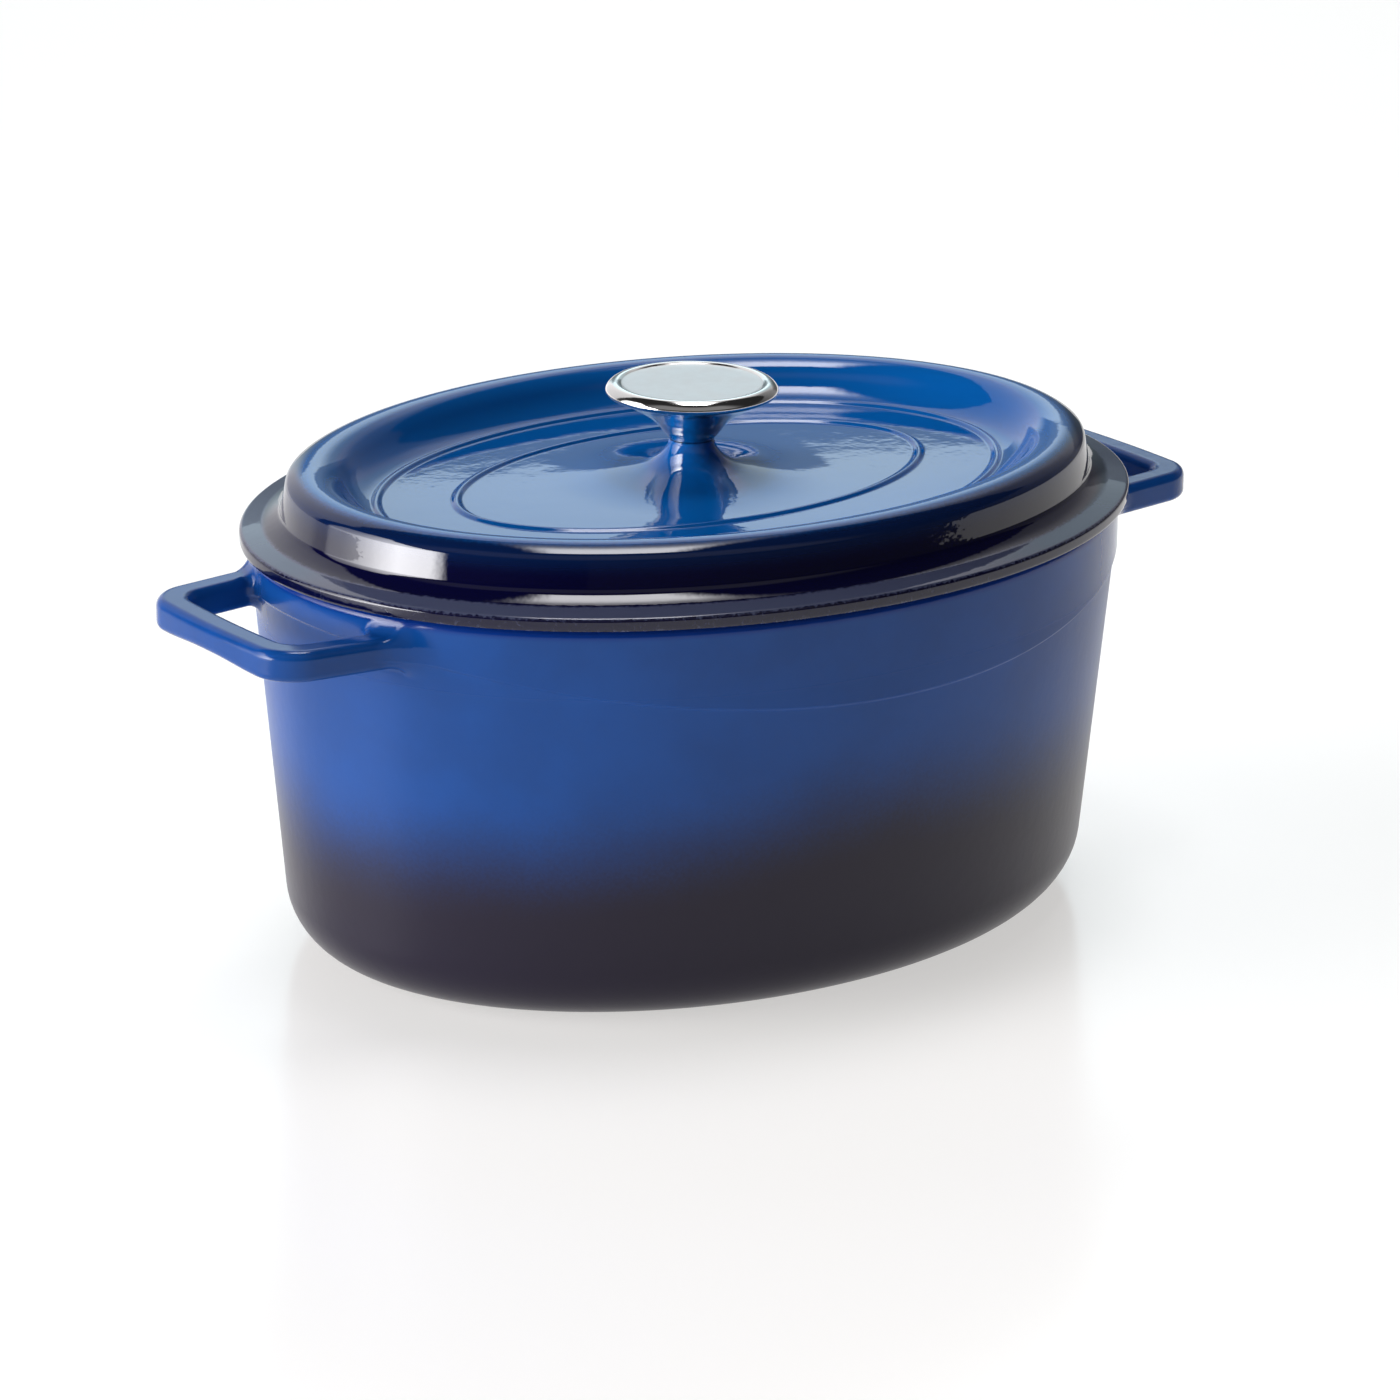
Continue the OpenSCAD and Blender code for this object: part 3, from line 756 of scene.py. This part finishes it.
def build_screw(mat):
    """Pan head machine screw seen from below, with a cross recess."""
    hz = 139.1
    seg = 96
    ang = np.linspace(0, 2 * math.pi, seg, endpoint=False)
    b = Builder()
    rows = []
    head = [(3.0, 169.0), (3.0, 150.0), (3.0, 139.3), (3.15, hz), (5.7, hz), (5.93, hz - 0.12), (6.0, hz - 0.4)]
    head = [(2.2, 169.1), (2.9, 168.3)] + head[1:]
    for a in np.linspace(0, 1, 12):
        # domed face down to the flat crown
        t = math.radians(90 * a)
        head.append((6.0 - 3.4 * (1 - math.cos(t)) * 0.9, hz - 0.9 - 2.9 * math.sin(t)))
    tip = b.add([[0, 0, 169.1]])[0]
    for r, z in head:
        rows.append(b.add(np.stack([r * np.cos(ang), r * np.sin(ang), np.full(seg, z)], 1)))
    b.fan(rows[0], tip)
    for p, q in zip(rows, rows[1:]):
        b.ring(q, p)
    r_c, z_c = head[-1]
    # recess: the outline blends from the round crown to a cross, then down
    fold = np.abs(((ang + math.pi / 4) % (math.pi / 2)) - math.pi / 4)
    arm = np.minimum(2.5, 0.62 / np.maximum(np.sin(fold), 1e-3))
    cross = np.where(fold < 0.25, np.minimum(2.5, arm), arm)
    cross = np.clip(cross, 0.85, 2.5)
    for s, f, dz in ((0.45, 0.0, 0.0), (0.0, 1.0, 0.0), (0.0, 0.97, 0.25), (0.0, 0.86, 1.2), (0.0, 0.62, 2.1), (0.0, 0.3, 2.6)):
        if f == 0.0:
            rr = r_c * (1 - s) + cross * s
        else:
            rr = cross * f
        rows.append(b.add(np.stack([rr * np.cos(ang), rr * np.sin(ang), np.full(seg, z_c + dz)], 1)))
        b.ring(rows[-2], rows[-1])
    bottom = b.add([[0, 0, z_c + 2.7]])[0]
    b.fan(rows[-1], bottom)
    return mesh("screw_m6", np.concatenate(b.v), np.concatenate(b.f), [mat])


# ---------------------------------------------------------------- materials
def new_mat(name):
    m = bpy.data.materials.new(name)
    m.use_nodes = True
    nt = m.node_tree
    bsdf = nt.nodes["Principled BSDF"]
    co = nt.nodes.new("ShaderNodeTexCoord")
    return m, nt, bsdf, co.outputs["Object"]


def noise(nt, co, scale, detail=2.0, rough=0.5, stretch=None):
    src = co
    if stretch is not None:
        mp = nt.nodes.new("ShaderNodeMapping")
        mp.inputs["Scale"].default_value = stretch
        nt.links.new(co, mp.inputs["Vector"])
        src = mp.outputs["Vector"]
    n = nt.nodes.new("ShaderNodeTexNoise")
    n.inputs["Scale"].default_value = scale
    n.inputs["Detail"].default_value = detail
    n.inputs["Roughness"].default_value = rough
    nt.links.new(src, n.inputs["Vector"])
    return n.outputs["Fac"]


def math_node(nt, op, a, b=None, c=None, clamp=False):
    m = nt.nodes.new("ShaderNodeMath")
    m.operation = op
    m.use_clamp = clamp
    for k, x in enumerate((a, b, c)):
        if x is None:
            continue
        if isinstance(x, (int, float)):
            m.inputs[k].default_value = x
        else:
            nt.links.new(x, m.inputs[k])
    return m.outputs[0]


def remap(nt, x, a, b, c=0.0, d=1.0, kind="SMOOTHERSTEP"):
    m = nt.nodes.new("ShaderNodeMapRange")
    m.interpolation_type = kind
    for name, val in (("From Min", a), ("From Max", b), ("To Min", c), ("To Max", d)):
        m.inputs[name].default_value = val
    nt.links.new(x, m.inputs["Value"])
    return m.outputs["Result"]


def mix_col(nt, fac, a, b):
    m = nt.nodes.new("ShaderNodeMix")
    m.data_type = "RGBA"
    for key, x in ((0, fac), (6, a), (7, b)):
        if isinstance(x, (int, float)):
            m.inputs[key].default_value = x
        elif isinstance(x, tuple):
            m.inputs[key].default_value = (*x, 1.0) if len(x) == 3 else x
        else:
            nt.links.new(x, m.inputs[key])
    return m.outputs[2]


def bump(nt, parts, bsdf):
    """Chains bumps: (height socket, strength, distance in metres)."""
    last = None
    for h, s, d in parts:
        b = nt.nodes.new("ShaderNodeBump")
        b.inputs["Strength"].default_value = s
        b.inputs["Distance"].default_value = d
        nt.links.new(h, b.inputs["Height"])
        if last is not None:
            nt.links.new(last, b.inputs["Normal"])
        last = b.outputs["Normal"]
    nt.links.new(last, bsdf.inputs["Normal"])


def split_z(nt, co):
    s = nt.nodes.new("ShaderNodeSeparateXYZ")
    nt.links.new(co, s.inputs[0])
    return s.outputs


BLUE_POT = (0.004, 0.056, 0.250)
BLUE_LID = (0.001, 0.094, 0.350)
MIDNIGHT = (0.0012, 0.0095, 0.052)
NAVY = (0.0012, 0.0012, 0.022)
LILAC = (0.055, 0.064, 0.115)
SOOT = (0.0125, 0.0090, 0.0240)


def enamel_pot():
    m, nt, bsdf, co = new_mat("enamel_pot_blue")
    xyz = split_z(nt, co)
    z = xyz[2]
    wob = noise(nt, co, 14.0, 3.0)
    grain = noise(nt, co, 900.0, 2.0)
    zz = math_node(nt, "ADD", z, math_node(nt, "MULTIPLY", math_node(nt, "SUBTRACT", wob, 0.5), 0.014))
    zz = math_node(nt, "ADD", zz, math_node(nt, "MULTIPLY", math_node(nt, "SUBTRACT", grain, 0.5), 0.008))
    # the dark reaches higher on the long sides than at the ends
    long_side = math_node(nt, "MULTIPLY", math_node(nt, "ABSOLUTE", xyz[0]), 0.12)
    zz = math_node(nt, "ADD", zz, long_side)
    dark = remap(nt, zz, 0.100, 0.047)
    tone = noise(nt, co, 30.0, 4.0, 0.55)
    blue = mix_col(nt, remap(nt, tone, 0.3, 0.7), tuple(x * 0.93 for x in BLUE_POT), tuple(x * 1.07 for x in BLUE_POT))
    col = mix_col(nt, dark, blue, SOOT)
    # painted shade and painted reflection: a deeper blue band right under the rim stands for the shade of the lid's
    # overhang and the lid's dark underside reflected there
    rim = remap(nt, z, 0.1300, 0.1328)
    col = mix_col(nt, rim, col, (0.001, 0.026, 0.200))
    nt.links.new(col, bsdf.inputs["Base Color"])
    nt.links.new(remap(nt, z, 0.108, 0.121, 0.30, 0.14), bsdf.inputs["Roughness"])
    bsdf.inputs["IOR"].default_value = 1.44
    bsdf.inputs["Specular IOR Level"].default_value = 0.36
    bump(nt, [(noise(nt, co, 260.0, 2.0, 0.4), 0.10, 0.0004), (noise(nt, co, 1100.0, 1.0), 0.06, 0.0001)], bsdf)
    return m


def enamel_lid():
    m, nt, bsdf, co = new_mat("enamel_lid_blue")
    at = nt.nodes.new("ShaderNodeAttribute")
    at.attribute_name = "offset"
    grain = noise(nt, co, 700.0, 2.0)
    off = math_node(nt, "ADD", at.outputs["Fac"], math_node(nt, "MULTIPLY", math_node(nt, "SUBTRACT", grain, 0.5), 1.6))
    col = mix_col(nt, remap(nt, off, -18.5, -13.0), BLUE_LID, MIDNIGHT)
    z = split_z(nt, co)[2]
    skirt = math_node(nt, "MULTIPLY", remap(nt, off, -15.0, -12.0), remap(nt, z, 0.1545, 0.1465))
    col = mix_col(nt, skirt, col, NAVY)
    # a lighter lilac-grey colour on top of the flange
    col = mix_col(nt, math_node(nt, "MULTIPLY", remap(nt, off, -4.4, -2.8), remap(nt, off, 3.9, 3.2)), col, LILAC)
    nt.links.new(col, bsdf.inputs["Base Color"])
    bsdf.inputs["Roughness"].default_value = 0.03
    bsdf.inputs["IOR"].default_value = 1.52
    bump(nt, [(noise(nt, co, 75.0, 1.5, 0.4), 0.06, 0.001), (noise(nt, co, 420.0, 1.5, 0.4), 0.05, 0.0003)], bsdf)
    return m


def enamel_black():
    m, nt, bsdf, co = new_mat("enamel_black")
    speck = noise(nt, co, 800.0, 1.0)
    col = mix_col(nt, remap(nt, speck, 0.62, 0.72), (0.006, 0.006, 0.007), (0.020, 0.020, 0.022))
    nt.links.new(col, bsdf.inputs["Base Color"])
    rough = remap(nt, noise(nt, co, 60.0, 2.0), 0.3, 0.7, 0.26, 0.38, "LINEAR")
    nt.links.new(rough, bsdf.inputs["Roughness"])
    bsdf.inputs["IOR"].default_value = 1.5
    bump(nt, [(noise(nt, co, 320.0, 2.0), 0.12, 0.0003)], bsdf)
    return m


def steel(name, rough, col, grain=None):
    m, nt, bsdf, co = new_mat(name)
    bsdf.inputs["Metallic"].default_value = 1.0
    v = noise(nt, co, 90.0, 3.0)
    c = mix_col(nt, v, tuple(x * 0.97 for x in col), tuple(min(1.0, x * 1.02) for x in col))
    nt.links.new(c, bsdf.inputs["Base Color"])
    r = remap(nt, noise(nt, co, 240.0, 3.0), 0.3, 0.7, rough * 0.85, rough * 1.15, "LINEAR")
    nt.links.new(r, bsdf.inputs["Roughness"])
    if grain:
        bump(nt, [(noise(nt, co, grain, 2.0, 0.6), 0.25, 0.00003)], bsdf)
    else:
        bump(nt, [(noise(nt, co, 500.0, 1.0), 0.04, 0.00005)], bsdf)
    return m


M_POT, M_LID, M_BLACK = enamel_pot(), enamel_lid(), enamel_black()
M_POLISH = steel("steel_polished", 0.10, (0.78, 0.77, 0.75))
M_SATIN = steel("steel_satin", 0.34, (0.62, 0.60, 0.59), 1500.0)
M_FAST = steel("steel_fastener", 0.28, (0.55, 0.55, 0.56), 900.0)

pot = build_pot(M_POT, M_BLACK)
lid = build_lid(M_LID, M_BLACK)
knob = build_knob([M_POLISH, M_SATIN])
washer = build_washer(M_FAST)
lock = build_lock_washer(M_FAST)
screw = build_screw(M_FAST)
for piece, body, node, slot_name in (
    (pot, "pot", "pot", "pot_enamel"),
    (lid, "lid", "lid", "lid_enamel"),
    (knob, "lid", "knob", "knob_steel"),
    (screw, "lid", "knob_screw", "fastener_steel"),
    (washer, "lid", "knob_washer", "fastener_steel"),
    (lock, "lid", "knob_lock_washer", "fastener_steel"),
):
    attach(piece, body)
    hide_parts(node)

# ---------------------------------------------------------------- camera
def camera(az, el, dist, aim, lens, pan, tilt, roll):
    a, e = math.radians(az), math.radians(el)
    back = Vector((math.sin(a) * math.cos(e), -math.cos(a) * math.cos(e), math.sin(e)))
    pos = Vector(aim) + back * dist
    fwd = -back
    right = fwd.cross(Vector((0, 0, 1))).normalized()
    up = right.cross(fwd)
    f2 = (fwd + math.tan(math.radians(pan)) * right + math.tan(math.radians(tilt)) * up).normalized()
    r2 = f2.cross(Vector((0, 0, 1))).normalized()
    u2 = r2.cross(f2)
    c, s = math.cos(math.radians(roll)), math.sin(math.radians(roll))
    r3, u3 = c * r2 + s * u2, c * u2 - s * r2
    data = bpy.data.cameras.new("camera")
    data.lens, data.sensor_width = lens, 36.0
    data.clip_start, data.clip_end = 0.05, 100
    o = bpy.data.objects.new("camera", data)
    o.matrix_world = Matrix((
        (r3.x, u3.x, -f2.x, pos.x), (r3.y, u3.y, -f2.y, pos.y), (r3.z, u3.z, -f2.z, pos.z), (0, 0, 0, 1)))
    bpy.context.scene.collection.objects.link(o)
    bpy.context.scene.camera = o


camera(-35.882, 17.887, 1.8, (0, 0, 0.09), 141.92, 0.105, -0.63, 0.424)

# ---------------------------------------------------------------- stage
def floor():
    b = Builder()
    s = 6000.0
    b.add([[-s, -s, 0], [s, -s, 0], [s, s, 0], [-s, s, 0]])
    m, nt, bsdf, co = new_mat("stage_floor")
    bsdf.inputs["Base Color"].default_value = (0.55, 0.545, 0.53, 1)
    bsdf.inputs["Emission Color"].default_value = (1.0, 0.985, 0.965, 1)
    bsdf.inputs["Emission Strength"].default_value = 0.56
    bsdf.inputs["Roughness"].default_value = 0.20
    bsdf.inputs["IOR"].default_value = 1.33
    o = mesh("stage_floor", np.concatenate(b.v), np.array([[0, 1, 2, 3]]), [m])
    return o


floor()


def ramp(nt, x, stops):
    """Piecewise linear value of x (0..1) through (position, value) stops."""
    r = nt.nodes.new("ShaderNodeValToRGB")
    r.color_ramp.interpolation = "LINEAR"
    el = r.color_ramp.elements
    el[0].position, el[1].position = stops[0][0], stops[-1][0]
    el[0].color, el[1].color = (*[stops[0][1]] * 3, 1), (*[stops[-1][1]] * 3, 1)
    for p, v in stops[1:-1]:
        el.new(p).color = (v, v, v, 1)
    nt.links.new(x, r.inputs["Fac"])
    return r.outputs["Color"]


def studio():
    """Soft studio light: a white sweep behind the piece, a softbox on its left, a strip overhead, dark elsewhere.
    phi is the direction round the piece, 0 behind it; el is the height above the horizon, both in degrees."""
    world = bpy.data.worlds.new("studio")
    bpy.context.scene.world = world
    world.use_nodes = True
    nt = world.node_tree
    bg = nt.nodes["Background"]
    co = nt.nodes.new("ShaderNodeTexCoord")
    x, y, z = split_z(nt, co.outputs["Generated"])

    def m(op, a, b=None, c=None, clamp=False):
        return math_node(nt, op, a, b, c, clamp)

    fw = m("ADD", m("MULTIPLY", x, 0.586), m("MULTIPLY", y, 0.810))
    rt = m("SUBTRACT", m("MULTIPLY", x, 0.810), m("MULTIPLY", y, 0.586))
    phi = m("MULTIPLY", m("ARCTAN2", rt, fw), 180 / math.pi)
    elev = m("MULTIPLY", m("ARCSINE", z), 180 / math.pi)
    u = m("DIVIDE", m("ADD", phi, 180.0), 360.0)

    def at(deg):
        return (deg + 180) / 360

    def curve(points, scale):
        return m("MULTIPLY", ramp(nt, u, [(at(a), v / scale) for a, v in points]), scale)

    # the sweep: its upper edge, its brightness, and the darker strip above the horizon
    top = curve([(-180, 4), (-64, 8), (-60, 34), (-50, 44), (-36, 48), (-20, 48), (0, 47), (20, 46), (34, 42), (48, 30), (75, 20), (110, 10)], 90.0)
    low = curve([(-180, 0.02), (-66, 0.03), (-60, 0.75), (-35, 0.85), (-20, 1.0), (-10, 1.35), (3, 1.45), (7, 1.0), (12, 0.45), (20, 0.3), (30, 0.24), (60, 0.1), (85, 0.03)], 2.0)
    upper = curve([(-180, 0.02), (-66, 0.03), (-60, 0.75), (-35, 0.85), (-20, 1.0), (0, 1.0), (12, 0.75), (24, 0.42), (34, 0.2), (60, 0.08), (85, 0.03)], 2.0)
    sweep = remap(nt, m("SUBTRACT", top, elev), -1.5, 1.5)
    foot = m("MULTIPLY", remap(nt, elev, 15.8, 14.8), remap(nt, m("ABSOLUTE", m("ADD", phi, -8.0)), 26.0, 15.0))
    low = m("MULTIPLY", low, m("SUBTRACT", 1.0, m("MULTIPLY", foot, 0.85)))
    rise = remap(nt, elev, 30.0, 39.0)
    low = m("ADD", m("MULTIPLY", low, m("SUBTRACT", 1.0, rise)), m("MULTIPLY", upper, rise))
    haze = m("MULTIPLY", remap(nt, m("ABSOLUTE", m("ADD", phi, -10.0)), 24.0, 8.0), m("MULTIPLY", remap(nt, elev, 44.0, 36.0), 0.22))
    haze = m("MULTIPLY", haze, remap(nt, elev, 8.0, 15.0, 0.25, 1.0))
    light = m("ADD", m("MULTIPLY", sweep, low), haze)
    # the softbox, standing on the floor
    box = curve([(-136, 0.0), (-130, 11.0), (-115, 12.5), (-101, 7.0), (-90, 3.6), (-84, 2.4), (-75.5, 1.7), (-73, 0.0)], 13.0)
    high = curve([(-140, 3), (-133, 9), (-122, 18), (-110, 28), (-98, 40), (-88, 40), (-72, 30)], 90.0)
    box = m("MULTIPLY", box, remap(nt, m("SUBTRACT", high, elev), -1.5, 2.5))
    box = m("MULTIPLY", box, remap(nt, elev, 3.0, 13.0, 1.7, 1.0))
    # the strip overhead, which fades toward the back
    f01 = m("ADD", fw, 0.1, clamp=True)
    over = m("MULTIPLY", ramp(nt, f01, [(0.06, 0.0), (0.08, 0.45), (0.1, 0.8), (0.15, 1.0), (0.3, 0.95), (0.4, 0.75), (0.46, 0.45), (0.52, 0.24), (0.6, 0.1), (0.7, 0.04), (0.8, 0.012), (0.9, 0.0)]), 11.5)
    over = m("MULTIPLY", over, m("MULTIPLY", remap(nt, rt, -0.17, -0.06), remap(nt, rt, 0.23, 0.13)))
    over = m("MULTIPLY", over, remap(nt, z, 0.0, 0.3))
    # the room on the near side is dim, not black
    room = m("MULTIPLY", remap(nt, m("ABSOLUTE", phi), 95.0, 130.0), m("MULTIPLY", remap(nt, elev, 14.0, 30.0), remap(nt, elev, 72.0, 56.0, 0.0, 0.22)))
    light = m("ADD", m("ADD", light, box), m("ADD", m("ADD", over, room), 0.022))
    nt.links.new(light, bg.inputs["Strength"])
    cool = m("MULTIPLY", m("MULTIPLY", sweep, remap(nt, elev, 34.0, 26.0)), m("MULTIPLY", remap(nt, phi, -20.0, -10.0), remap(nt, phi, 24.0, 14.0)))
    nt.links.new(mix_col(nt, cool, (0.985, 0.975, 1.0), (0.76, 0.94, 1.02)), bg.inputs["Color"])
    # what a camera sees past the floor's edge is a plain pale backdrop
    plain = nt.nodes.new("ShaderNodeBackground")
    plain.inputs["Color"].default_value = (0.93, 0.93, 0.93, 1)
    path = nt.nodes.new("ShaderNodeLightPath")
    mix = nt.nodes.new("ShaderNodeMixShader")
    nt.links.new(path.outputs["Is Camera Ray"], mix.inputs[0])
    nt.links.new(bg.outputs[0], mix.inputs[1])
    nt.links.new(plain.outputs[0], mix.inputs[2])
    nt.links.new(mix.outputs[0], nt.nodes["World Output"].inputs["Surface"])
    world.cycles.sampling_method = "MANUAL"
    world.cycles.sample_map_resolution = 2048


studio()

view = bpy.context.scene.view_settings
view.view_transform = "Standard"
view.look = "None"
